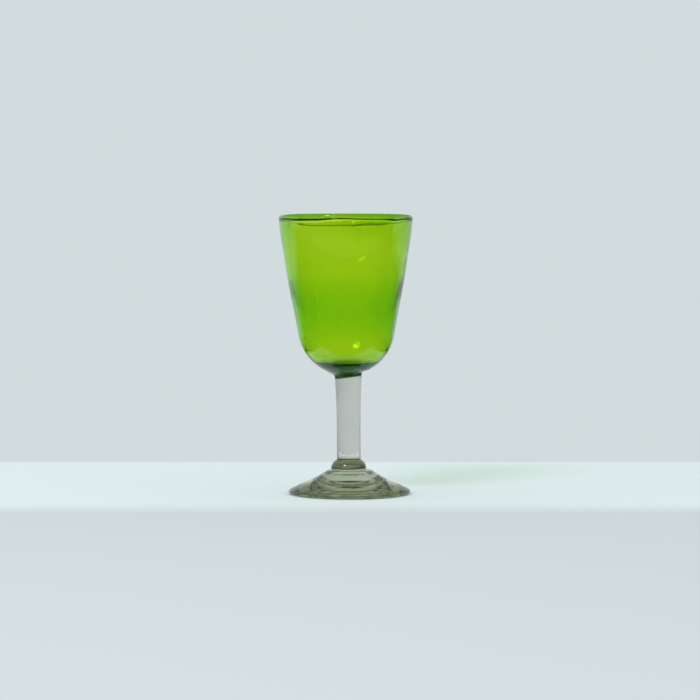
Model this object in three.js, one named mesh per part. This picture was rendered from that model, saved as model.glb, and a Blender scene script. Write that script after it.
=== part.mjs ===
// A hand-blown goblet on a solid stem, made of four gathers of glass fused end to end:
// a leaf-green bowl, a clear drawn stem, a grey-green knop and a grey-green conical foot.
// Millimetres, +Z up. The origin is on the table, under the middle of the rim.
// The goblet's front, which faces -Y, is where its uneven rim stands highest.
// The gathers are fused a little out of line, so each has its own offset in X.

import * as THREE from 'three';
import * as BufferGeometryUtils from 'three/addons/utils/BufferGeometryUtils.js';

// Heights, stacked from the table up
const footHeight = 14.5;
const knopHeight = 7.5;
const stemLength = 50;
const bowlHeight = 98;

// Foot: a cone with a rounded edge, hollow below, ground flat where it rests
const footDiameter = 74.2;
const footEdgeThickness = 2.9;
const footShoulderDiameter = 26.4;
const footShoulderRounding = 3;
const coneHollow = 0.7;
const restingRingWidth = 2.2;
const hollowRoofDiameter = 39;
const hollowRoofHeight = 5.3;
const hollowRoofRounding = 5;
const pontilScarDiameter = 22;
const pontilScarHeight = 2.2;
const pontilScarRounding = 0.6;
const footOffset = 2.35;

// Knop: a flattened button, widest just above its seat
const knopDiameter = 21.4;
const knopSeatDiameter = 20.4;
const knopWaistHeight = 1.2;
const knopCollarHeight = 1.2;
const knopShoulderInset = 5.2;
const knopOffset = 1.75;

// Stem: solid, thickest where it meets the bowl
const stemTopDiameter = 16.4;
const stemWaistDiameter = 14.4;
const stemFootDiameter = 14.7;
const stemFootOffset = 1.9;
const stemTopOffset = 1.55;

// Bowl: round bottom, nearly straight sides that bow out a little, rolled lip
const rimDiameter = 81.5;
const sideTaper = THREE.MathUtils.degToRad(9.6);
const sideBow = 0.6;
const rimTurnIn = 0.5;
const rimTurnShare = 0.15;
const lipTaper = THREE.MathUtils.degToRad(4.4);
const bottomRise = 0.25;
const neckFillet = 1.8;
const neckHeight = 5;
const bowlFootOffset = 0.45;
const lipThickness = 3.5;
const lipFillet = 1.6;
const rimDrop = 3;
const rimWave = 0.15;
const rimDip = 1.8;
const rimDipTurn = THREE.MathUtils.degToRad(203);
const rimDipWidth = THREE.MathUtils.degToRad(24);

// Thickness of the bowl's wall at distances up its outside from the middle of the bottom
const wallPlaces = [0, 4, 9, 14, 19, 32, 44, 56, 64, 76, 92, 108];
const wallThicknesses = [7.8, 7.6, 6.6, 4.6, 2.2, 1.6, 2.4, 3, 2.8, 2, 1.6, 2];
const wallEasing = 4;

// Fineness of the round forms
const bowlSides = 60;
const footSides = 60;
const knopSides = 40;
const stemSides = 40;

// Points of a circular or elliptic arc from one angle to another, both ends included
function arc(centre, radius, from, to, steps, radiusUp = radius) {
  const points = [];
  for (let i = 0; i <= steps; i++) {
    const angle = from + (to - from) * i / steps;
    points.push(new THREE.Vector2(
      centre.x + radius * Math.cos(angle),
      centre.y + radiusUp * Math.sin(angle),
    ));
  }
  return points;
}

// Rounds the corner of a profile at one point, with an arc tangent to both sides
function roundedCorner(before, corner, after, radius, steps) {
  const toBefore = before.clone().sub(corner).normalize();
  const toAfter = after.clone().sub(corner).normalize();
  const half = Math.acos(toBefore.dot(toAfter)) / 2;
  const bisector = toBefore.clone().add(toAfter).normalize();
  const centre = corner.clone().addScaledVector(bisector, radius / Math.sin(half));
  const start = corner.clone().addScaledVector(toBefore, radius / Math.tan(half)).sub(centre);
  const end = corner.clone().addScaledVector(toAfter, radius / Math.tan(half)).sub(centre);
  let turn = end.angle() - start.angle();
  turn -= 2 * Math.PI * Math.round(turn / (2 * Math.PI));
  return arc(centre, radius, start.angle(), start.angle() + turn, steps);
}

// Turns a profile of radius and height about the vertical axis into one closed body
function turned(profile, sides) {
  const lathe = new THREE.LatheGeometry(profile, sides);
  lathe.rotateX(Math.PI / 2);
  lathe.deleteAttribute('uv');
  lathe.deleteAttribute('normal');
  const body = BufferGeometryUtils.mergeVertices(lathe, 1e-5);
  const index = body.getIndex().array;
  const kept = [];
  for (let i = 0; i < index.length; i += 3) {
    const [a, b, c] = [index[i], index[i + 1], index[i + 2]];
    if (a !== b && b !== c && c !== a) {
      kept.push(a, b, c);
    }
  }
  body.setIndex(kept);
  body.computeVertexNormals();
  return body;
}

// Moves each point sideways by an amount that depends on its height
function setAside(geometry, offsetAt) {
  const position = geometry.getAttribute('position');
  for (let i = 0; i < position.count; i++) {
    position.setX(i, position.getX(i) + offsetAt(position.getZ(i)));
  }
  geometry.computeVertexNormals();
  return geometry;
}

function glass(name, geometry, height, colour, roughness) {
  const material = new THREE.MeshStandardMaterial({ color: colour, roughness, metalness: 0 });
  const mesh = new THREE.Mesh(geometry, material);
  mesh.name = name;
  mesh.position.z = height;
  return mesh;
}

// The foot's outline runs from the middle of the hollow under it, down and out to the flat
// ring that it rests on, round the edge, up the cone and in across the seat of the knop
function footProfile() {
  const edge = footEdgeThickness / 2;
  const edgeCentre = new THREE.Vector2(footDiameter / 2 - edge, edge);
  const ringInner = new THREE.Vector2(edgeCentre.x - restingRingWidth, 0);
  const roofCorner = new THREE.Vector2(hollowRoofDiameter / 2, hollowRoofHeight);
  const scarCorner = new THREE.Vector2(pontilScarDiameter / 2, pontilScarHeight);
  const scarMiddle = new THREE.Vector2(0, pontilScarHeight);

  // The cone is the line from the shoulder that just touches the round edge, sunk a little
  // in its upper half
  const shoulder = new THREE.Vector2(footShoulderDiameter / 2, footHeight);
  const toEdge = edgeCentre.clone().sub(shoulder);
  const slope = toEdge.angle() + Math.asin(edge / toEdge.length());
  const edgeStart = slope + Math.PI / 2;
  const coneFoot = arc(edgeCentre, edge, edgeStart, edgeStart, 1)[0];
  const seatMiddle = new THREE.Vector2(0, footHeight);
  const shoulderRound = roundedCorner(coneFoot, shoulder, seatMiddle, footShoulderRounding, 4);
  const cone = [];
  for (let i = 1; i < 10; i++) {
    const along = i / 10;
    const point = coneFoot.clone().lerp(shoulderRound[0], along);
    point.y -= coneHollow * Math.sin(Math.PI * along ** 2) ** 2;
    cone.push(point);
  }

  return [
    scarMiddle,
    ...roundedCorner(scarMiddle, scarCorner, roofCorner, pontilScarRounding, 3),
    ...roundedCorner(scarCorner, roofCorner, ringInner, hollowRoofRounding, 5),
    ringInner,
    ...arc(edgeCentre, edge, -Math.PI / 2, edgeStart - 2 * Math.PI, 8),
    ...cone,
    ...shoulderRound,
    seatMiddle,
  ];
}

// The knop's outline swells from its seat to its waist, rounds over and ends in a collar
// that takes the stem
function knopProfile() {
  const waist = knopDiameter / 2;
  const seat = knopSeatDiameter / 2;
  const collar = stemFootDiameter / 2;
  const shoulderCentre = new THREE.Vector2(waist - knopShoulderInset, knopWaistHeight);
  const shoulderRise = knopHeight - knopCollarHeight - knopWaistHeight;
  const collarAngle = Math.acos((collar - shoulderCentre.x) / knopShoulderInset);
  const domeHeight = shoulderRise / Math.sin(collarAngle);
  return [
    new THREE.Vector2(0, 0),
    ...arc(new THREE.Vector2(seat, knopWaistHeight), waist - seat, -Math.PI / 2, 0, 4, knopWaistHeight),
    ...arc(shoulderCentre, knopShoulderInset, 0, collarAngle, 9, domeHeight).slice(1),
    new THREE.Vector2(collar, knopHeight),
    new THREE.Vector2(0, knopHeight),
  ];
}

// The stem swells towards the bowl and, less, where it meets the knop
function stemProfile() {
  const rings = 12;
  const points = [new THREE.Vector2(0, 0)];
  for (let i = 0; i <= rings; i++) {
    const along = i / rings;
    const top = (stemTopDiameter - stemWaistDiameter) * along ** 3;
    const foot = (stemFootDiameter - stemWaistDiameter) * (1 - along) ** 12;
    const diameter = stemWaistDiameter + top + foot;
    points.push(new THREE.Vector2(diameter / 2, stemLength * along));
  }
  points.push(new THREE.Vector2(0, stemLength));
  return points;
}

// Thickness of the wall at a distance up the outside: straight runs between the given
// places, evened out over the easing distance on each side
function wallAt(distance) {
  const straight = (place) => {
    const next = wallPlaces.findIndex((given) => given >= place);
    if (next < 0) return wallThicknesses.at(-1);
    if (next === 0) return wallThicknesses[0];
    const share = (place - wallPlaces[next - 1]) / (wallPlaces[next] - wallPlaces[next - 1]);
    return THREE.MathUtils.lerp(wallThicknesses[next - 1], wallThicknesses[next], share);
  };
  let sum = 0;
  let weights = 0;
  for (let k = -4; k <= 4; k++) {
    const weight = 1 + Math.cos(Math.PI * k / 5);
    sum += weight * straight(Math.abs(distance + wallEasing * k / 5));
    weights += weight;
  }
  return sum / weights;
}

// The bowl's outside without its neck and lip, from the middle of the bottom up. An arc
// round the axis runs into a straight side that leans out at the taper, bows out a little
// and turns in below the rim. With each point comes the point of the inside opposite it.
function bodyLines(lipCentre, outward) {
  const lip = lipThickness / 2;
  const sideTop = lipCentre.clone().addScaledVector(outward, lip);
  sideTop.x += rimTurnIn;
  const radiusAtBottom = sideTop.x - (sideTop.y - bottomRise) * Math.tan(sideTaper);
  const radius = Math.cos(sideTaper) * radiusAtBottom / (1 - Math.sin(sideTaper));
  const centre = new THREE.Vector2(0, bottomRise + radius);
  const outside = arc(centre, radius, -Math.PI / 2, -sideTaper, 15);
  const sideStart = outside.at(-1).clone();
  for (let i = 1; i <= 12; i++) {
    const along = i / 12;
    const point = sideStart.clone().lerp(sideTop, along);
    const nearRim = Math.max(0, (along - 1) / rimTurnShare + 1);
    point.x += sideBow * Math.sin(Math.PI * along) ** 2 - rimTurnIn * nearRim ** 2;
    outside.push(point);
  }

  let distance = 0;
  const inside = outside.map((point, i) => {
    const before = outside[Math.max(i - 1, 0)];
    const after = outside[Math.min(i + 1, outside.length - 1)];
    const inward = new THREE.Vector2(before.y - after.y, after.x - before.x).normalize();
    if (i === 0) inward.set(0, 1);
    distance += point.distanceTo(before);
    return point.clone().addScaledVector(inward, wallAt(distance));
  });
  return { centre, radius, outside, inside };
}

// The bowl's outline runs up its outside from the neck, over the rolled lip and down inside
function bowlProfile() {
  const outward = new THREE.Vector2(Math.cos(lipTaper), -Math.sin(lipTaper));
  const upward = new THREE.Vector2(Math.sin(lipTaper), Math.cos(lipTaper));
  const lip = lipThickness / 2;
  const lipCentre = new THREE.Vector2(rimDiameter / 2 - lip, bowlHeight - lip);
  const { centre, radius, outside, inside } = bodyLines(lipCentre, outward);

  // The neck has the stem's diameter and meets the round bottom in a small hollow fillet
  const neck = stemTopDiameter / 2;
  const filletReach = radius + neckFillet;
  const filletCentre = new THREE.Vector2(
    neck + neckFillet,
    centre.y - Math.sqrt(filletReach ** 2 - (neck + neckFillet) ** 2),
  );
  const filletEnd = centre.clone().sub(filletCentre).angle();
  const fillet = arc(filletCentre, neckFillet, Math.PI, filletEnd, 5);

  // The lip's inner side flows into the wall in a small hollow fillet
  const across = lipFillet + wallThicknesses.at(-1) - lip;
  const along = Math.sqrt((lip + lipFillet) ** 2 - across ** 2);
  const lipFilletCentre = lipCentre.clone()
    .addScaledVector(upward, -along)
    .addScaledVector(outward, -across);
  const lipEnd = lipFilletCentre.clone().sub(lipCentre).angle();
  const lipFilletStart = lipCentre.clone().sub(lipFilletCentre).angle();
  const lipBlend = arc(lipFilletCentre, lipFillet, lipFilletStart, -lipTaper, 4);
  const blendFoot = lipBlend.at(-1);

  return [
    new THREE.Vector2(0, 0),
    new THREE.Vector2(neck, 0),
    ...fillet,
    ...outside.filter((point) => point.x > fillet.at(-1).x + 0.3),
    ...arc(lipCentre, lip, -lipTaper, 0, 1).slice(1),
    ...arc(lipCentre, lip, 0, Math.PI / 2, 4).slice(1),
    ...arc(lipCentre, lip, Math.PI / 2, lipEnd, 4).slice(1),
    ...lipBlend.slice(1),
    ...inside.filter((point) => point.clone().sub(blendFoot).dot(upward) < -1).reverse(),
  ];
}

// Lowers the rim towards the back, with a dip behind on the left and a small wave, as
// hand-sheared rims have. The sides stretch with it, and the round bottom stays as it is.
function unevenRim(geometry) {
  const position = geometry.getAttribute('position');
  const stretchStart = bowlHeight / 3;
  for (let i = 0; i < position.count; i++) {
    const [x, y, z] = [position.getX(i), position.getY(i), position.getZ(i)];
    const turn = Math.atan2(x, -y);
    const low = rimDrop * (1 - Math.cos(turn)) / 2;
    const wave = rimWave * Math.sin(turn / 2) ** 2 * (1 + Math.sin(3 * turn));
    const away = THREE.MathUtils.euclideanModulo(turn - rimDipTurn + Math.PI, 2 * Math.PI);
    const dip = rimDip * Math.exp(-(((away - Math.PI) / rimDipWidth) ** 2));
    const share = Math.max(0, (z - stretchStart) / (bowlHeight - stretchStart)) ** 2;
    position.setX(i, x + bowlOffsetAt(z));
    position.setZ(i, z - (low + wave + dip) * share);
  }
  geometry.computeVertexNormals();
  return geometry;
}

// The neck stands over the stem's top, and above it the bowl leans from its own offset to
// none at the lip's widest level
function bowlOffsetAt(height) {
  const share = height / (bowlHeight - lipThickness / 2);
  const neck = 1 - THREE.MathUtils.smoothstep(height, 0, neckHeight);
  return bowlFootOffset * (1 - share) + (stemTopOffset - bowlFootOffset) * neck;
}

const knopLevel = footHeight;
const stemLevel = knopLevel + knopHeight;
const bowlLevel = stemLevel + stemLength;

const foot = setAside(turned(footProfile(), footSides), () => footOffset);
const knop = setAside(turned(knopProfile(), knopSides), (height) => (
  THREE.MathUtils.lerp(knopOffset, stemFootOffset, height / knopHeight)
));
const stem = setAside(turned(stemProfile(), stemSides), (height) => (
  THREE.MathUtils.lerp(stemFootOffset, stemTopOffset, height / stemLength)
));
const bowl = unevenRim(turned(bowlProfile(), bowlSides));

const goblet = new THREE.Group();
goblet.name = 'goblet';
goblet.add(
  glass('foot', foot, 0, 0x6d7560, 0.06),
  glass('knop', knop, knopLevel, 0x8c9173, 0.05),
  glass('stem', stem, stemLevel, 0xcfd6d4, 0.05),
  glass('bowl', bowl, bowlLevel, 0x82c005, 0.05),
);

export default goblet;
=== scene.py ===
import math

import bpy
import numpy as np
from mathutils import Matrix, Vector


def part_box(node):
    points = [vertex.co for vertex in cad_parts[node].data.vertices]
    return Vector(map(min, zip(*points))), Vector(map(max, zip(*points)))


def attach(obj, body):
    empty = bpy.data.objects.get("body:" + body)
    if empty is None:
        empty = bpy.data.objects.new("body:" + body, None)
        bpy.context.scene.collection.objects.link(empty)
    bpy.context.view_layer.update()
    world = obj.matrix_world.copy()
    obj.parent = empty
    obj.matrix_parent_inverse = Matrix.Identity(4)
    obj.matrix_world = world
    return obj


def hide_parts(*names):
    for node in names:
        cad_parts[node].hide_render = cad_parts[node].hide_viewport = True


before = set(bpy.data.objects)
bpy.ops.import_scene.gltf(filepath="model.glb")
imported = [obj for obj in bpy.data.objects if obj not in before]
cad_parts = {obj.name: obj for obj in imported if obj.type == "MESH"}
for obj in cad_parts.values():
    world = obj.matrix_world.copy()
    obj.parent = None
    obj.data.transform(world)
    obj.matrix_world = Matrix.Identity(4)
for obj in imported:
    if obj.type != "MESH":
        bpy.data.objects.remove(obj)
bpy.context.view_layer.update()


# Camera
# A long lens stands a metre and a half in front of the goblet, a little below the height
# of its rim, and looks slightly down. Every place and size here is in metres.
SENSOR_MM = 36
PHOTO_PX = 700
FOCAL_PX = 2419
EYE_LEVEL_PX = 245
eye_height = 0.1514
eye_distance = 1.470
eye_right = 0.0026

camera = bpy.data.objects.new("camera", bpy.data.cameras.new("camera"))
camera.data.sensor_width = SENSOR_MM
camera.data.lens = FOCAL_PX / PHOTO_PX * SENSOR_MM
tilt_down = math.atan((PHOTO_PX / 2 - EYE_LEVEL_PX) / FOCAL_PX)
camera.location = (eye_right, -eye_distance, eye_height)
camera.rotation_euler = (math.pi / 2 - tilt_down, 0, 0)
bpy.context.collection.objects.link(camera)
bpy.context.scene.camera = camera


# Floor
# A pale matt floor ends at a darker backdrop behind the goblet. Towards the camera it turns
# a little greyer for camera rays only: painted shade, like a table's front face in shade.
# Glass shows what it mirrors and bends, so the rays that left the glass find dark and pale
# zones on this floor that the camera doesn't see.
FLOOR_TONE = (0.80, 0.84, 0.845, 1)
# Painted shade: the greyer tone stands in for a table's front face in shade.
SHADED_FRONT_TONE = (0.672, 0.680, 0.688, 1)
BACKDROP_TONE = (0.645, 0.716, 0.730, 1)
BLACK = (0, 0, 0, 1)
floor_reach = 4.0
backdrop_from = 0.214
backdrop_softness = 0.004
shaded_front_from = -0.085
shaded_front_softness = 0.05
floor_half_width = 0.135
floor_front_edge = -0.052
floor_edge_softness = 0.01
floor_dim_right = 0.175
dark_strength = 0.12
dark_back_edge = 0.5
dark_back_softness = 0.3
dark_back_slant = 0.348
pale_from = 0.73
pale_softness = 0.2
pale_further_right = 0.2
pale_slant = 0.29
pale_slant_softness = 0.1


class Wire:
    """A node tree and one output socket in it. Arithmetic on it adds Math nodes."""

    def __init__(self, tree, socket=None):
        self.tree = tree
        self.socket = socket

    def node(self, kind, settings, inputs, output=0):
        """Adds a node, sets it up, then fills or links its inputs, and gives one output."""
        made = self.tree.nodes.new(kind)
        for name, value in settings.items():
            setattr(made, name, value)
        for name, value in inputs.items():
            if isinstance(value, Wire):
                self.tree.links.new(value.socket, made.inputs[name])
            else:
                made.inputs[name].default_value = value
        return Wire(self.tree, made.outputs[output])

    def math(self, operation, first, second=0):
        """A Math node on one or two values."""
        return self.node("ShaderNodeMath", {"operation": operation}, {0: first, 1: second})

    def __add__(self, other):
        return self.math("ADD", self, other)

    def __radd__(self, other):
        return self.math("ADD", other, self)

    def __sub__(self, other):
        return self.math("SUBTRACT", self, other)

    def __rsub__(self, other):
        return self.math("SUBTRACT", other, self)

    def __mul__(self, other):
        return self.math("MULTIPLY", self, other)

    def __rmul__(self, other):
        return self.math("MULTIPLY", other, self)

    def __truediv__(self, other):
        return self.math("DIVIDE", self, other)

    def __rtruediv__(self, other):
        return self.math("DIVIDE", other, self)

    def __abs__(self):
        return self.math("ABSOLUTE", self)

    def clamped(self, low, high):
        """This value, kept between the low one and the high one."""
        return self.math("MINIMUM", self.math("MAXIMUM", self, low), high)

    def part(self, axis):
        """The X, Y or Z of a place or direction."""
        return self.node("ShaderNodeSeparateXYZ", {}, {"Vector": self}, output=axis)

    def light_path(self, question):
        """What the light path says of the ray that asks, such as Is Camera Ray."""
        return self.node("ShaderNodeLightPath", {}, {}, output=question)

    def mixed(self, first, second):
        """The first colour where this value is 0 and the second where it is 1."""
        settings = {"data_type": "RGBA"}
        return self.node("ShaderNodeMix", settings, {0: self, 6: first, 7: second}, output=2)

    def darkened_by(self, colour, painted_shade):
        """The colour, multiplied by a painted shade where this value is 1."""
        settings = {"data_type": "RGBA", "blend_type": "MULTIPLY"}
        return self.node("ShaderNodeMix", settings, {0: self, 6: colour, 7: painted_shade}, output=2)

    def blended(self, first, second):
        """The first shader where this value is 0 and the second where it is 1."""
        return self.node("ShaderNodeMixShader", {}, {0: self, 1: first, 2: second})


def new_material(name):
    """A material with nothing in it but its output node."""
    material = bpy.data.materials.new(name)
    material.use_nodes = True
    tree = material.node_tree
    tree.nodes.clear()
    return material, Wire(tree), tree.nodes.new("ShaderNodeOutputMaterial")


def step(value, place, softness):
    """0 below the place and 1 above it, with a straight ramp as wide as the softness."""
    return ((value - place) / softness + 0.5).clamped(0, 1)


def off_axis(x, y):
    """How far a place lies from the upright axis: the root of the sum of the squares."""
    return x.math("SQRT", x * x + y * y)


def floor_material():
    """Matt floor as far as the backdrop, which shines in its own tone, dimmer to the right
    for glass. For glass the floor is narrow, with the backdrop's tone beside it. For what
    glass mirrors it is dark in front and beside, as far as pale zones at the far sides."""
    material, at, output = new_material("pale_floor")
    place = at.node("ShaderNodeTexCoord", {}, {}, output="Object")
    x = place.part("X")
    y = place.part("Y")
    distance = off_axis(x, y)
    left = at.math("MAXIMUM", 0 - x)
    seen = at.light_path("Is Camera Ray")
    mirrored = at.light_path("Glossy Depth").clamped(0, 1)
    glassy = (at.light_path("Is Glossy Ray") + at.light_path("Is Transmission Ray")).clamped(0, 1)

    beyond = step(y, backdrop_from, backdrop_softness)
    beside = step(abs(x), floor_half_width, floor_edge_softness)
    in_front = 1 - step(y, floor_front_edge, floor_edge_softness)
    backdrop_share = (beyond + beside * glassy).clamped(0, 1)
    rightness = (x / distance).clamped(0, 1)

    far = step(distance - x.clamped(0, 1) * pale_further_right, pale_from, pale_softness)
    behind = step(y - left * pale_slant, 0, pale_slant_softness)
    well_behind = step(y + left * dark_back_slant, dark_back_edge, dark_back_softness)
    dark_beside = beside * (1 - well_behind) * (1 - far * behind)
    dark_share = (in_front + dark_beside).clamped(0, 1) * mirrored

    matt = at.node("ShaderNodeBsdfDiffuse", {}, {"Color": FLOOR_TONE})
    shaded_front = at.node("ShaderNodeBsdfDiffuse", {}, {"Color": SHADED_FRONT_TONE})
    dimmed = (rightness * glassy * floor_dim_right).mixed(BACKDROP_TONE, BLACK)
    backdrop = at.node("ShaderNodeEmission", {}, {"Color": dimmed})
    dark = at.node("ShaderNodeEmission", {}, {"Color": BACKDROP_TONE, "Strength": dark_strength})
    # Painted shade: the camera sees the floor greyer in front, as a table's front face in shade.
    surface = ((1 - step(y, shaded_front_from, shaded_front_softness)) * seen).blended(matt, shaded_front)
    surface = dark_share.blended(backdrop_share.blended(surface, backdrop), dark)
    at.tree.links.new(surface.socket, output.inputs["Surface"])
    return material


floor_mesh = bpy.data.meshes.new("pale_floor")
floor_corners = np.array([(-1, -1, 0), (1, -1, 0), (1, 1, 0), (-1, 1, 0)]) * floor_reach
floor_mesh.from_pydata(floor_corners.tolist(), [], [(0, 1, 2, 3)])
floor_mesh.materials.append(floor_material())
floor = bpy.data.objects.new("pale_floor", floor_mesh)
bpy.context.collection.objects.link(floor)


# Light
# An even, soft light comes from all round, in the backdrop's tone, and one oval lamp stands
# high in front on the left. For glass the upper part and the right are dimmer, and what it
# mirrors from in front is dark, with one pale band.
surround_strength = 1.16
surround_dim_right = 0.35
dim_above = 0.6
dim_above_from = 0.36
dim_above_softness = 0.12
front_reach = math.radians(102)
front_softness = 0.5
front_strength = 0.2
band_strength = 0.8
band_low = 0.29
band_low_softness = 0.05
band_high = 0.50
band_high_softness = 0.1
lamp_azimuth = math.radians(-33)
lamp_elevation = math.radians(43)
lamp_distance = 3.0
lamp_aim = 0.08
lamp_width = 0.95
lamp_height = 0.75
lamp_watts = 25
glass_bounces = 24
mirror_bounces = 12


def surrounding_light():
    """Full strength to the camera and a set strength to matt surfaces. To glass it falls in
    proportion to how far to the right it comes from, and by a ramp above one height. What
    glass mirrors from in front is low, plus a band between two heights."""
    world = bpy.data.worlds.new("surroundings")
    bpy.context.scene.world = world
    world.use_nodes = True
    tree = world.node_tree
    tree.nodes.clear()
    at = Wire(tree)
    way = at.node("ShaderNodeTexCoord", {}, {}, output="Generated")
    right = way.part("X")
    up = way.part("Z")
    azimuth = at.math("ARCTAN2", right, 0 - way.part("Y"))
    glassy = at.light_path("Is Glossy Ray")
    seen = at.light_path("Is Camera Ray")
    mirrored = at.light_path("Glossy Depth").clamped(0, 1)

    in_front = (1 - step(abs(azimuth), front_reach, front_softness)) * mirrored
    above_band = step(up, band_high, band_high_softness)
    band = step(up, band_low, band_low_softness) * (1 - above_band) * band_strength
    dimmer_above = step(up, dim_above_from, dim_above_softness) * dim_above
    around = (1 - right.clamped(0, 1) * surround_dim_right) * (1 - dimmer_above)
    to_glass = (1 - in_front) * around + in_front * (front_strength + band)
    light = (1 - glassy) * surround_strength + glassy * to_glass
    strength = seen + (1 - seen) * light
    inputs = {"Color": BACKDROP_TONE, "Strength": strength}
    background = at.node("ShaderNodeBackground", {}, inputs)
    output = tree.nodes.new("ShaderNodeOutputWorld")
    tree.links.new(background.socket, output.inputs["Surface"])


surrounding_light()
lamp_data = bpy.data.lights.new("soft_lamp", "AREA")
lamp_data.shape = "ELLIPSE"
lamp_data.size = lamp_width
lamp_data.size_y = lamp_height
lamp_data.energy = lamp_watts
lamp = bpy.data.objects.new("soft_lamp", lamp_data)
lamp_away = lamp_distance * math.cos(lamp_elevation)
lamp.location = (
    lamp_away * math.sin(lamp_azimuth),
    -lamp_away * math.cos(lamp_azimuth),
    lamp_aim + lamp_distance * math.sin(lamp_elevation),
)
lamp.rotation_euler = (math.pi / 2 - lamp_elevation, 0, lamp_azimuth)
bpy.context.collection.objects.link(lamp)
cycles = bpy.context.scene.cycles
cycles.max_bounces = glass_bounces
cycles.transmission_bounces = glass_bounces
cycles.transparent_max_bounces = glass_bounces
cycles.glossy_bounces = mirror_bounces
bpy.context.scene.view_settings.view_transform = "Standard"


# Foot
# A gather of smoky grey-green glass spun out into a cone, hollow below, with a rounded
# edge. The pontil rod's scar is in the hollow, and the ring it stands on is ground flat.
foot_low, foot_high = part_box("foot")
foot_radius = (foot_high[0] - foot_low[0]) / 2
foot_offset = 0.00235
foot_edge = 0.00145
foot_shoulder = 0.0132
foot_shoulder_rounding = 0.003
resting_ring = 0.0022
hollow_roof = 0.0195
hollow_roof_height = 0.0042
hollow_roof_rounding = 0.005
scar_radius = 0.011
scar_height = 0.0022
scar_rounding = 0.0006
cone_hollow = 0.0007
tool_mark_depth = 0.00004
# Each row of tool marks has its radians per metre, drift, swells round the axis and start.
TOOL_MARKS = ((2900, 0.8, 1, 1.0), (5300, 1.3, 2, 0.4))
# Each seed bubble has its place and its radius.
FOOT_SEEDS = (
    (0.0075, -0.0060, 0.0088, 0.00050), (-0.0022, -0.0085, 0.0079, 0.00030),
    (0.0160, -0.0090, 0.0062, 0.00025), (-0.0125, 0.0060, 0.0070, 0.00035),
    (0.0040, 0.0150, 0.0068, 0.00030), (-0.0090, -0.0160, 0.0056, 0.00025),
)
seed_sides = 12
seed_rings = 7
seed_stretch = 1.5
foot_sides = 320
FOOT_SWALLOWS = (12, 10.6, 18)
foot_wave = 0.00006
foot_shade = 0.25
glass_index = 1.5
glass_draw = 0.3
glass_dullness = 0.012
waves_per_metre = 90
wave_detail = 1.0
streaks_per_metre = 260
streak_detail = 2.0
faint_streak = 0.95
WHITE = (1, 1, 1, 1)


def arc(centre, radius, start, end, steps, radius_up=None):
    """Points of an arc: centre plus radius times cosine and sine of the angle."""
    angle = np.linspace(start, end, steps + 1)
    up = radius if radius_up is None else radius_up
    return np.stack([centre[0] + radius * np.cos(angle), centre[1] + up * np.sin(angle)], 1)


def line(start, end, steps):
    """Points evenly along a straight line, both ends included."""
    along = np.linspace(0, 1, steps + 1)[:, None]
    return np.asarray(start) * (1 - along) + np.asarray(end) * along


def rounded(before, corner, after, radius, steps):
    """An arc of the radius that touches both lines that meet at the corner."""
    before, corner, after = (np.asarray(p, float) for p in (before, corner, after))
    one = (before - corner) / np.linalg.norm(before - corner)
    two = (after - corner) / np.linalg.norm(after - corner)
    half = math.acos(float(one @ two)) / 2
    middle = (one + two) / np.linalg.norm(one + two)
    centre = corner + middle * radius / math.sin(half)
    first = corner + one * radius / math.tan(half) - centre
    last = corner + two * radius / math.tan(half) - centre
    start = math.atan2(first[1], first[0])
    turn = math.atan2(last[1], last[0]) - start
    turn -= 2 * math.pi * round(turn / (2 * math.pi))
    return arc(centre, radius, start, start + turn, steps)


def joined(*runs):
    """Runs of points end to end, with a point that repeats the one before it left out."""
    same_point = 1e-7
    points = np.concatenate(runs)
    keep = np.ones(len(points), bool)
    keep[1:] = np.linalg.norm(np.diff(points, axis=0), axis=1) > same_point
    return points[keep]


def set_aside(low, high, low_offset, high_offset):
    """A sideways shift that runs evenly from one offset to another with the height: the
    gathers are fused a little out of line."""

    def settle(points):
        moved = points.copy()
        share = (points[:, 2] - low) / (high - low)
        moved[:, 0] += low_offset + (high_offset - low_offset) * share
        return moved

    return settle


def seed_bubbles(seeds):
    """A small closed ball for each seed: its place, plus its radius times cosine and sine
    of latitude and longitude, taller than it is wide. Its faces point into the bubble,
    which is out of the glass. Gives points, faces with four sides and faces with three."""
    seeds = np.asarray(seeds)
    latitude = np.linspace(-np.pi / 2, np.pi / 2, seed_rings + 2)[1:-1, None]
    longitude = np.arange(seed_sides) * 2 * np.pi / seed_sides
    across = np.cos(latitude) * np.cos(longitude)
    along = np.cos(latitude) * np.sin(longitude)
    up = seed_stretch * np.sin(latitude) * np.ones(seed_sides)
    rings = np.stack([across, along, up], 2).reshape(-1, 3)
    ball = np.concatenate([rings, [[0, 0, -seed_stretch], [0, 0, seed_stretch]]])
    points = (seeds[:, None, :3] + ball * seeds[:, None, 3:]).reshape(-1, 3)

    here = np.arange(seed_sides)
    beside = (here + 1) % seed_sides
    low_ring = np.arange(seed_rings - 1)[:, None] * seed_sides
    high_ring = low_ring + seed_sides
    quads = np.stack([low_ring + here, high_ring + here, high_ring + beside, low_ring + beside], 2)
    low_pole = np.full(seed_sides, len(rings))
    high_pole = low_pole + 1
    top = len(rings) - seed_sides
    low_fan = np.stack([low_pole, here, beside], 1)
    high_fan = np.stack([high_pole, top + beside, top + here], 1)
    fans = np.concatenate([low_fan, high_fan])
    first_of_ball = np.arange(len(seeds))[:, None, None] * len(ball)
    quads = quads.reshape(-1, 4) + first_of_ball
    fans = fans + first_of_ball
    return points, quads.reshape(-1, 4), fans.reshape(-1, 3)


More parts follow.
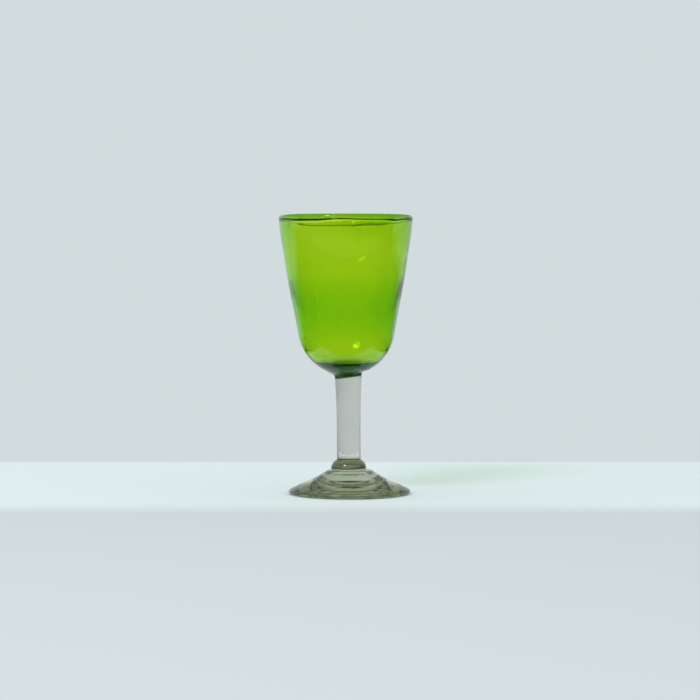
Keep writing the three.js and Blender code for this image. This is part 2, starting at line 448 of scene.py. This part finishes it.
def turned(name, profile, sides, settle, ripple=None, others=(), seeds=None):
    """The profile's radius and height carried round the axis, closed by a fan of faces at
    each end where it meets the axis. Each other profile is mixed in by a share that depends
    on the angle. Ripple adds to the radius, by ring and by angle, and settle then moves
    every point. Seed bubbles are added as they are."""
    turn = np.arange(sides) * 2 * np.pi / sides
    own_radius, own_height = profile[1:-1, 0, None], profile[1:-1, 1, None]
    radius, height = own_radius, own_height
    for other, share_at in others:
        radius = radius + (other[1:-1, 0, None] - own_radius) * share_at(turn)
        height = height + (other[1:-1, 1, None] - own_height) * share_at(turn)
    if ripple is not None:
        radius = radius + ripple(profile[1:-1], turn)
    across, along = radius * np.sin(turn), -radius * np.cos(turn)
    rings = np.stack(np.broadcast_arrays(across, along, height), 2).reshape(-1, 3)
    poles = np.array([[0, 0, profile[0, 1]], [0, 0, profile[-1, 1]]])
    points = settle(np.concatenate([rings, poles]))

    here = np.arange(sides)
    beside = (here + 1) % sides
    low_ring = np.arange(len(profile) - 3)[:, None] * sides
    high_ring = low_ring + sides
    quads = np.stack([low_ring + here, low_ring + beside, high_ring + beside, high_ring + here], 2)
    quads = quads.reshape(-1, 4)
    first_pole = np.full(sides, len(rings))
    last_pole = first_pole + 1
    end = len(rings) - sides
    first_fan = np.stack([first_pole, beside, here], 1)
    last_fan = np.stack([last_pole, end + here, end + beside], 1)
    fans = np.concatenate([first_fan, last_fan])
    if seeds is not None:
        seed_points, seed_quads, seed_fans = seed_bubbles(seeds)
        quads = np.concatenate([quads, seed_quads + len(points)])
        fans = np.concatenate([fans, seed_fans + len(points)])
        points = np.concatenate([points, seed_points])

    mesh = bpy.data.meshes.new(name)
    mesh.from_pydata(points.tolist(), [], quads.tolist() + fans.tolist())
    mesh.shade_smooth()
    mesh.validate()
    piece = bpy.data.objects.new(name, mesh)
    bpy.context.collection.objects.link(piece)
    return piece


def glass(name, swallows, wave_height, shade=1.0, streak=faint_streak, painted_shade=None):
    """Clear, smooth glass whose body swallows so much red, green and blue per metre.
    Stretched noise gives its surface slow waves and upright streaks, which let through as
    little as the share called streak. A painted shade darkens the colour by the place, and
    each surface lets the share called shade of the light through to what lies in its shadow."""
    material, at, output = new_material(name)
    place = at.node("ShaderNodeTexCoord", {}, {}, output="Object")
    drawn = at.node("ShaderNodeMapping", {}, {"Vector": place, "Scale": (1, 1, glass_draw)})
    wave_noise = {"Vector": drawn, "Scale": waves_per_metre, "Detail": wave_detail}
    waves = at.node("ShaderNodeTexNoise", {}, wave_noise)
    streak_noise = {"Vector": drawn, "Scale": streaks_per_metre, "Detail": streak_detail}
    streaks = at.node("ShaderNodeTexNoise", {}, streak_noise)
    relief = {"Height": waves, "Strength": 1.0, "Distance": wave_height}
    colour = streaks.mixed((streak, streak, streak, 1), WHITE)
    if painted_shade is not None:
        colour = painted_shade(place, colour)
    body = at.node(
        "ShaderNodeBsdfPrincipled",
        {},
        {
            "Base Color": colour,
            "Roughness": streaks * glass_dullness,
            "Transmission Weight": 1.0,
            "IOR": glass_index,
            "Normal": at.node("ShaderNodeBump", {}, relief),
        },
    )
    clear = at.node("ShaderNodeBsdfTransparent", {}, {"Color": (shade, shade, shade, 1)})
    surface = at.light_path("Is Shadow Ray").blended(body, clear)
    density = max(swallows)
    kept = tuple(1 - share / density for share in swallows) + (1,)
    inside = at.node("ShaderNodeVolumeAbsorption", {}, {"Color": kept, "Density": density})
    at.tree.links.new(surface.socket, output.inputs["Surface"])
    at.tree.links.new(inside.socket, output.inputs["Volume"])
    return material


def put_in_place(piece, node, material):
    """The piece stands for its CAD node, rides with the goblet and takes its glass."""
    piece.data.materials.append(material)
    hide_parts(node)
    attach(piece, "root")


def foot_profile():
    """From the middle of the hollow down to the resting ring, round the edge and up the
    cone, which is drawn in by a squared sine of the squared share of its length."""
    edge_centre = (foot_radius - foot_edge, foot_edge)
    ring_inner = (edge_centre[0] - resting_ring, 0)
    scar_middle = (0, scar_height)
    scar_edge = (scar_radius, scar_height)
    roof = (hollow_roof, hollow_roof_height)
    top = (0, foot_high[2])
    shoulder = (foot_shoulder, foot_high[2])
    away = (edge_centre[0] - shoulder[0], edge_centre[1] - shoulder[1])
    slope = math.atan2(away[1], away[0]) + math.asin(foot_edge / math.hypot(*away))
    edge_end = slope + math.pi / 2
    edge_round = arc(edge_centre, foot_edge, -math.pi / 2, edge_end, steps=24)
    roof_round = rounded(scar_edge, roof, ring_inner, hollow_roof_rounding, steps=8)
    scar_round = rounded(scar_middle, scar_edge, roof, scar_rounding, steps=5)
    shoulder_round = rounded(edge_round[-1], shoulder, top, foot_shoulder_rounding, steps=10)
    cone = line(edge_round[-1], shoulder_round[0], steps=50)
    up_the_cone = np.linspace(0, 1, len(cone))
    cone[:, 1] -= cone_hollow * np.sin(np.pi * up_the_cone**2) ** 2
    return joined(
        line(scar_middle, scar_round[0], steps=12),
        scar_round,
        line(scar_round[-1], roof_round[0], steps=12),
        roof_round,
        line(roof_round[-1], ring_inner, steps=40),
        line(ring_inner, (edge_centre[0], 0), steps=4),
        edge_round,
        cone,
        shoulder_round,
        line(shoulder_round[-1], top, steps=16),
    )


def tool_marks(profile, turn):
    """Shallow rings on the cone: the mean of sines of the radius, each of which drifts
    round the axis by a sine of the angle."""
    radius, height = profile.T
    past_the_edge = np.arange(len(profile)) > np.argmax(radius)
    on_cone = past_the_edge & (height > 2 * foot_edge)
    rings = 0
    for often, drift, swells, start in TOOL_MARKS:
        rings = rings + np.sin(radius[:, None] * often + drift * np.sin(swells * turn + start))
    return tool_mark_depth * rings / len(TOOL_MARKS) * on_cone[:, None]


foot_settle = set_aside(foot_low[2], foot_high[2], foot_offset, foot_offset)
foot = turned(
    "glass_foot", foot_profile(), foot_sides, foot_settle, tool_marks, seeds=FOOT_SEEDS
)
foot_glass = glass("grey_green_glass", FOOT_SWALLOWS, foot_wave, shade=foot_shade)
put_in_place(foot, "foot", foot_glass)


# Knop
# A flattened button of paler grey-green glass. It is dropped on the foot while both are
# hot, and drawn up into a short collar where the stem stands on it.
knop_low, knop_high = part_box("knop")
knop_radius = (knop_high[0] - knop_low[0]) / 2
knop_offset = 0.00175
stem_foot_offset = 0.0019
stem_foot_radius = 0.00735
knop_seat = 0.0102
knop_waist = 0.0012
knop_shoulder_inset = 0.0052
knop_collar_height = 0.0012
fuse_overlap = 0.0002
fuse_inset = 0.00005
knop_sides = 320
KNOP_SWALLOWS = (30, 28, 50)
knop_wave = 0.00005


def knop_profile():
    """Flat seat, quarter ellipse out to the waist, part of an ellipse in to the collar."""
    low, high = knop_low[2], knop_high[2]
    start = low - fuse_overlap
    waist = low + knop_waist
    inner = knop_radius - knop_shoulder_inset
    bulge = knop_radius - knop_seat
    collar_foot = (stem_foot_radius, high - knop_collar_height)
    collar_top = (stem_foot_radius, high)
    end = math.acos((stem_foot_radius - inner) / knop_shoulder_inset)
    rise = (collar_foot[1] - waist) / math.sin(end)
    return joined(
        line((0, start), (knop_seat - fuse_inset, start), steps=12),
        arc((knop_seat, waist), bulge, -math.pi / 2, 0, steps=10, radius_up=knop_waist),
        arc((inner, waist), knop_shoulder_inset, 0, end, steps=28, radius_up=rise),
        line(collar_foot, collar_top, steps=6),
        line(collar_top, (0, high), steps=12),
    )


knop_settle = set_aside(knop_low[2], knop_high[2], knop_offset, stem_foot_offset)
knop = turned("glass_knop", knop_profile(), knop_sides, knop_settle)
knop_glass = glass("pale_grey_green_glass", KNOP_SWALLOWS, knop_wave)
put_in_place(knop, "knop", knop_glass)


# Stem
# A solid rod of clear glass, drawn out by hand, a little thicker towards the bowl. Its top
# is slightly slanted where the bowl was fused to it.
stem_low, stem_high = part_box("stem")
stem_top_offset = 0.00155
stem_radius = 0.0082
stem_waist_radius = 0.0072
joint_drop = 0.0007
joint_level = stem_high[2] - joint_drop
joint_slant = 0.13
joint_slant_reach = 0.005
STEM_SEEDS = (
    (-0.0034, -0.0040, 0.0272, 0.00035), (-0.0013, -0.0030, 0.0250, 0.00025),
    (0.0050, -0.0020, 0.0246, 0.00025), (0.0030, 0.0030, 0.0420, 0.00020),
    (-0.0020, 0.0020, 0.0555, 0.00020), (0.0010, -0.0045, 0.0635, 0.00020),
)
stem_rings = 121
stem_sides = 320
STEM_SWALLOWS = (13, 14, 18)
stem_wave = 0.00005
stem_streak = 0.88


def stem_profile():
    """The waist's radius, plus a swelling to the top by the cube of the share of height and
    a small one to the foot by the twelfth power of the share that is left."""
    along = np.linspace(0, 1, stem_rings)
    radius = stem_waist_radius + (stem_radius - stem_waist_radius) * along**3
    radius = radius + (stem_foot_radius - stem_waist_radius) * (1 - along) ** 12
    height = stem_low[2] + (joint_level - stem_low[2]) * along
    start = stem_low[2] - fuse_overlap
    side = np.stack([radius, height], 1)
    return joined(
        line((0, start), (radius[0] - fuse_inset, start), steps=12),
        side,
        line(side[-1], (0, joint_level), steps=12),
    )


def slanted(points):
    """Raises or lowers what is near the joint of stem and bowl in proportion to its place
    sideways, fading out by a squared bell as the height leaves the joint."""
    moved = points.copy()
    away = np.clip((points[:, 2] - joint_level) / joint_slant_reach, -1, 1)
    moved[:, 2] += joint_slant * (points[:, 0] - stem_top_offset) * (1 - away**2) ** 2
    return moved


def stem_settle(points):
    """Out of line by height, with the top slanted to meet the bowl."""
    settle = set_aside(stem_low[2], stem_high[2], stem_foot_offset, stem_top_offset)
    return slanted(settle(points))


stem = turned("glass_stem", stem_profile(), stem_sides, stem_settle, seeds=STEM_SEEDS)
stem_glass = glass("clear_glass", STEM_SWALLOWS, stem_wave, streak=stem_streak)
put_in_place(stem, "stem", stem_glass)


# Bowl
# A leaf-green bubble of glass, sheared and fire-polished at the lip, fused to the stem by
# a short neck. Its rim is uneven, and its wall is thick at the bottom and half-way up.
bowl_low, bowl_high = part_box("bowl")
rim_radius = (bowl_high[0] - bowl_low[0]) / 2
bowl_foot_offset = 0.00045
side_taper = math.radians(9.6)
side_bow = 0.0006
ball_rise = 0.00025
neck_height = 0.005
neck_fillet = 0.0028
rim_turn_in = 0.0005
rim_turn_share = 0.15
lip_taper = math.radians(4.4)
# Distances along the side from the lowest point, and the wall's thickness at each. The
# last one is at the rim, where the wall is the lip's own.
WALL_AT = (0, 0.004, 0.009, 0.014, 0.019, 0.032, 0.044, 0.056, 0.064, 0.076, 0.092, 0.108)
WALL = (0.0078, 0.0076, 0.0066, 0.0046, 0.0022, 0.0016, 0.0024, 0.0030, 0.0028, 0.0020, 0.0016)
wall_easing = 0.004
# Each form of the lip has the radius of its bead, the wall below it and the fillet between.
FRONT_LIP = (0.00165, 0.0020, 0.00035)
BACK_LIP = (0.00125, 0.0013, 0.0008)
SIDE_LIP = (0.0016, 0.0021, 0.0010)
FRONT_LEFT_LIP = (0.00190, 0.0016, 0.0014)
MIDDLE_LIP = (0.00195, 0.0028, 0.0004)
FRONT_RIGHT_LIP = (0.00175, 0.0016, 0.0012)
# The sines of the angles between which the lip goes over to its form at the sides.
sides_from = 0.74
sides_to = 0.92
# The angles between which each form at the front grows, in degrees from the front to the
# right.
front_left_grows = (-5, -27)
middle_grows = (-8, 18)
front_right_grows = (33, 50)
# The share of the bowl's height from which its rim is uneven.
uneven_from = 1 / 3
rim_drop = 0.0030
rim_wave = 0.00015
rim_swells = 3
rim_dip = 0.0020
rim_dip_turn = math.radians(213)
rim_dip_width = math.radians(30)
rim_peak = 0.0005
rim_peak_turn = math.radians(160)
rim_peak_width = math.radians(7)
flute_depth = 0.00005
flute_calm = 0.65
# Each row of flutes has its share, its number round the axis, its start and its twist.
FLUTES = ((0.5, 5, 0.7, 0), (0.3, 9, 2.1, 12), (0.2, 16, 4.0, -30))
flutes_above_seat = 0.012
flutes_below_rim = 0.006
flutes_fade = 0.02
# Each seed bubble has its angle round the axis, its height and its radius.
BOWL_SEEDS = (
    (-1.04, 0.0955, 0.00045), (1.25, 0.1115, 0.00035), (1.22, 0.1090, 0.00030),
    (0.35, 0.1440, 0.00020), (-0.60, 0.1300, 0.00020), (2.10, 0.1180, 0.00030),
    (3.30, 0.1020, 0.00035), (4.20, 0.1360, 0.00025), (2.70, 0.1450, 0.00020),
)
outline_steps = 300
body_rings = 145
bowl_sides = 270
BOWL_SWALLOWS = (192, 50, 1450)
bowl_wave = 0.00005
bowl_shade = 0.7
# Painted shade: these colours darken the glass by place, in the middle of the bottom, in the neck
# and in the lip.
BOTTOM_PAINTED_SHADE = (1.0, 0.80, 0.45, 1)
bottom_painted_shade_top = 0.083
bottom_painted_shade_softness = 0.006
bottom_painted_shade_radius = 0.0175
bottom_painted_shade_radius_softness = 0.007
NECK_PAINTED_SHADE = (0.85, 0.50, 0.35, 1)
neck_painted_shade_top = 0.077
neck_painted_shade_softness = 0.003
LIP_PAINTED_SHADE = (0.70, 0.84, 0.9, 1)
lip_painted_shade_from = 0.1672
lip_painted_shade_softness = 0.0010


def evenly(points, count):
    """The same line with that many points at equal distances along it, and those distances."""
    length = np.concatenate([[0], np.cumsum(np.linalg.norm(np.diff(points, axis=0), axis=1))])
    places = np.linspace(0, length[-1], count)
    return places, np.stack([np.interp(places, length, points[:, k]) for k in (0, 1)], 1)


def bowl_outside(outer_top):
    """A ball round the axis that runs into a straight taper up to the rim, plus a bow by
    the squared sine of the share of its length, turned in near the rim by a square. Gives
    the distances along it, its points, and the ball's radius and centre."""
    lowest = bowl_low[2] + ball_rise
    radius_there = outer_top[0] - (outer_top[1] - lowest) * math.tan(side_taper)
    ball = math.cos(side_taper) * radius_there / (1 - math.sin(side_taper))
    ball_centre = np.array([0, lowest + ball])
    side_start = ball_centre + ball * np.array([math.cos(side_taper), -math.sin(side_taper)])
    side = line(side_start, outer_top, outline_steps)
    up_the_side = np.linspace(0, 1, len(side))
    near_rim = np.clip((up_the_side - 1) / rim_turn_share + 1, 0, 1)
    side[:, 0] += side_bow * np.sin(np.pi * up_the_side) ** 2 - rim_turn_in * near_rim**2
    under = arc(ball_centre, ball, -math.pi / 2, -side_taper, outline_steps)
    place, body = evenly(joined(under, side), body_rings)
    return place, body, ball, ball_centre


def bowl_inside(place, body, rim_wall):
    """The outside moved inwards, at right angles to itself, by the wall's thickness, which
    is eased by a moving average so that no ring shows a crease."""
    tangent = np.gradient(body, axis=0)
    tangent[0] = (1, 0)
    tangent /= np.linalg.norm(tangent, axis=1)[:, None]
    thick = np.interp(place, WALL_AT, WALL + (rim_wall,))
    easing_rings = int(round(wall_easing / place[1]))
    window = np.hanning(2 * easing_rings + 3)[1:-1]
    padded = np.pad(thick, easing_rings, "reflect")
    thick = np.convolve(padded, window / window.sum(), "valid")
    return body - np.stack([tangent[:, 1], -tangent[:, 0]], 1) * thick[:, None]


def neck_arc(ball, ball_centre):
    """The fillet that touches the neck's upright side and the ball."""
    reach = ball + neck_fillet
    side = stem_radius + neck_fillet
    centre = np.array([side, ball_centre[1] - math.sqrt(reach**2 - side**2)])
    to_ball = ball_centre - centre
    end = math.atan2(to_ball[1], to_ball[0])
    return arc(centre, neck_fillet, math.pi, end, steps=14)


def bowl_profile(lip):
    """Up the outside from the neck, round the lip's bead, through the fillet under it and
    down the inside to the bottom."""
    bead, rim_wall, lip_fillet = lip
    bead_centre = np.array([rim_radius - bead, bowl_high[2] - bead])
    outward = np.array([math.cos(lip_taper), -math.sin(lip_taper)])
    upward = np.array([math.sin(lip_taper), math.cos(lip_taper)])
    outer_top = bead_centre + outward * bead + (rim_turn_in, 0)
    place, body, ball, ball_centre = bowl_outside(outer_top)
    inside = bowl_inside(place, body, rim_wall)
    ring_spacing = place[1]
    neck = neck_arc(ball, ball_centre)
    outside = body[body[:, 0] > neck[-1, 0] + ring_spacing / 4]

    across = lip_fillet + rim_wall - bead
    along = math.sqrt((bead + lip_fillet) ** 2 - across**2)
    fillet_centre = bead_centre - upward * along - outward * across
    to_fillet = fillet_centre - bead_centre
    bead_end = math.atan2(to_fillet[1], to_fillet[0]) % (2 * math.pi)
    fillet_start = math.atan2(-to_fillet[1], -to_fillet[0])
    fillet = arc(fillet_centre, lip_fillet, fillet_start, -lip_taper, steps=8)
    below = (inside - fillet[-1]) @ upward < -ring_spacing / 2
    start = joint_level - fuse_overlap
    return joined(
        line((0, start), (stem_radius - fuse_inset, start), steps=10),
        line((stem_radius, joint_level), neck[0], steps=2),
        neck,
        evenly(outside, body_rings)[1],
        arc(bead_centre, bead, -lip_taper, bead_end, steps=30),
        fillet,
        evenly(inside[below][::-1], body_rings)[1],
    )


def flutes(profile, turn):
    """Faint upright flutes inside the wall: a sum of sines of the angle, which twist with
    the height, fade out at both ends and are deepest on the right."""
    height = profile[:, 1, None]
    inside = (np.arange(len(profile)) > np.argmax(profile[:, 1]))[:, None]
    from_seat = np.clip((height - bowl_low[2] - flutes_above_seat) / flutes_fade, 0, 1)
    from_rim = np.clip((bowl_high[2] - flutes_below_rim - height) / flutes_fade, 0, 1)
    depth = flute_depth * (flute_calm + (1 - flute_calm) * np.sin(turn))
    waves = 0
    for share, number, start, twist in FLUTES:
        waves = waves + share * np.sin(number * turn + start + twist * height)
    return depth * waves * from_seat * from_rim * inside


def bell(turn, centre, width):
    """A bell curve of the angle round the axis, 1 at its centre."""
    away = (turn - centre + np.pi) % (2 * np.pi) - np.pi
    return np.exp(-((away / width) ** 2))


def bowl_settle(points):
    """Lowers the sides by a squared share of their height, most at the back of the rim,
    with a dip behind on the left, a small peak behind on the right and a wave of swells.
    Then the neck follows the stem, and the rest is set aside and leans."""
    moved = points.copy()
    x, y, z = points.T
    turn = np.arctan2(x, -y)
    low = rim_drop * ((1 - np.cos(turn)) / 2) ** 2
    wave = rim_wave * np.sin(turn / 2) ** 2 * (1 + np.sin(rim_swells * turn))
    dip = rim_dip * bell(turn, rim_dip_turn, rim_dip_width)
    peak = rim_peak * bell(turn, rim_peak_turn, rim_peak_width)
    start = bowl_low[2] + (bowl_high[2] - bowl_low[2]) * uneven_from
    share = np.clip((z - start) / (bowl_high[2] - start), 0, None) ** 2
    moved[:, 2] -= (low + wave + dip - peak) * share
    up_the_neck = np.clip((z - bowl_low[2]) / neck_height, 0, 1)
    neck = 1 - up_the_neck**2 * (3 - 2 * up_the_neck)
    lip_level = bowl_high[2] - FRONT_LIP[0]
    moved[:, 0] += bowl_foot_offset * (lip_level - z) / (lip_level - bowl_low[2])
    moved[:, 0] += (stem_top_offset - bowl_foot_offset) * neck
    return slanted(moved)


def bowl_painted_shade(place, colour):
    """Painted shade: the colour is darkened in the middle of the thick bottom, in the neck, and
    in the lip, where the glass is rolled over, beyond what the glass's thickness gives. Each
    fades out by a straight ramp of the height, and in the bottom by one of the distance from
    the axis as well."""
    height = place.part("Z")
    in_bottom = 1 - step(height, bottom_painted_shade_top, bottom_painted_shade_softness)
    away = off_axis(place.part("X"), place.part("Y"))
    in_middle = 1 - step(away, bottom_painted_shade_radius, bottom_painted_shade_radius_softness)
    in_neck = 1 - step(height, neck_painted_shade_top, neck_painted_shade_softness)
    in_lip = step(height, lip_painted_shade_from, lip_painted_shade_softness)
    colour = (in_bottom * in_middle).darkened_by(colour, BOTTOM_PAINTED_SHADE)
    colour = in_neck.darkened_by(colour, NECK_PAINTED_SHADE)
    return in_lip.darkened_by(colour, LIP_PAINTED_SHADE)


def eased(value, start, end):
    """0 at the start, 1 at the end and a smooth step between them."""
    share = np.clip((value - start) / (end - start), 0, 1)
    return share * share * (3 - 2 * share)


def side_share(turn):
    """1 at both sides of the rim and 0 at the front and back."""
    return eased(np.abs(np.sin(turn)), sides_from, sides_to)


def back_share(turn):
    """What the sides leave of a slow change from 0 at the front to 1 at the back."""
    return (1 - side_share(turn)) * (1 - np.cos(turn)) / 2


def front_share(start, end):
    """How much of one form of the lip there is at an angle of the front half: it grows
    between two angles, in degrees from the front to the right, and ends at the sides."""

    def share_at(turn):
        degrees = np.degrees((turn + np.pi) % (2 * np.pi) - np.pi)
        in_front = np.cos(turn) >= 0
        return in_front * (1 - side_share(turn)) * eased(degrees, start, end)

    return share_at


def in_the_wall(profile, seeds):
    """Turns each seed's angle and height into a place half-way through the wall."""
    top = np.argmax(profile[:, 1])
    outside, inside = profile[: top + 1], profile[top:][::-1]
    turn, height, size = np.asarray(seeds).T
    outer = np.interp(height, outside[:, 1], outside[:, 0])
    inner = np.interp(height, inside[:, 1], inside[:, 0])
    middle = (outer + inner) / 2
    return np.stack([middle * np.sin(turn), -middle * np.cos(turn), height, size], 1)


front_profile = bowl_profile(FRONT_LIP)
other_profiles = (
    (bowl_profile(BACK_LIP), back_share),
    (bowl_profile(SIDE_LIP), side_share),
    (bowl_profile(FRONT_LEFT_LIP), front_share(*front_left_grows)),
    (bowl_profile(MIDDLE_LIP), front_share(*middle_grows)),
    (bowl_profile(FRONT_RIGHT_LIP), front_share(*front_right_grows)),
)
bowl_seeds = in_the_wall(front_profile, BOWL_SEEDS)
bowl = turned(
    "glass_bowl", front_profile, bowl_sides, bowl_settle, flutes, other_profiles, bowl_seeds
)
bowl_glass = glass(
    "leaf_green_glass", BOWL_SWALLOWS, bowl_wave, shade=bowl_shade, painted_shade=bowl_painted_shade
)
put_in_place(bowl, "bowl", bowl_glass)
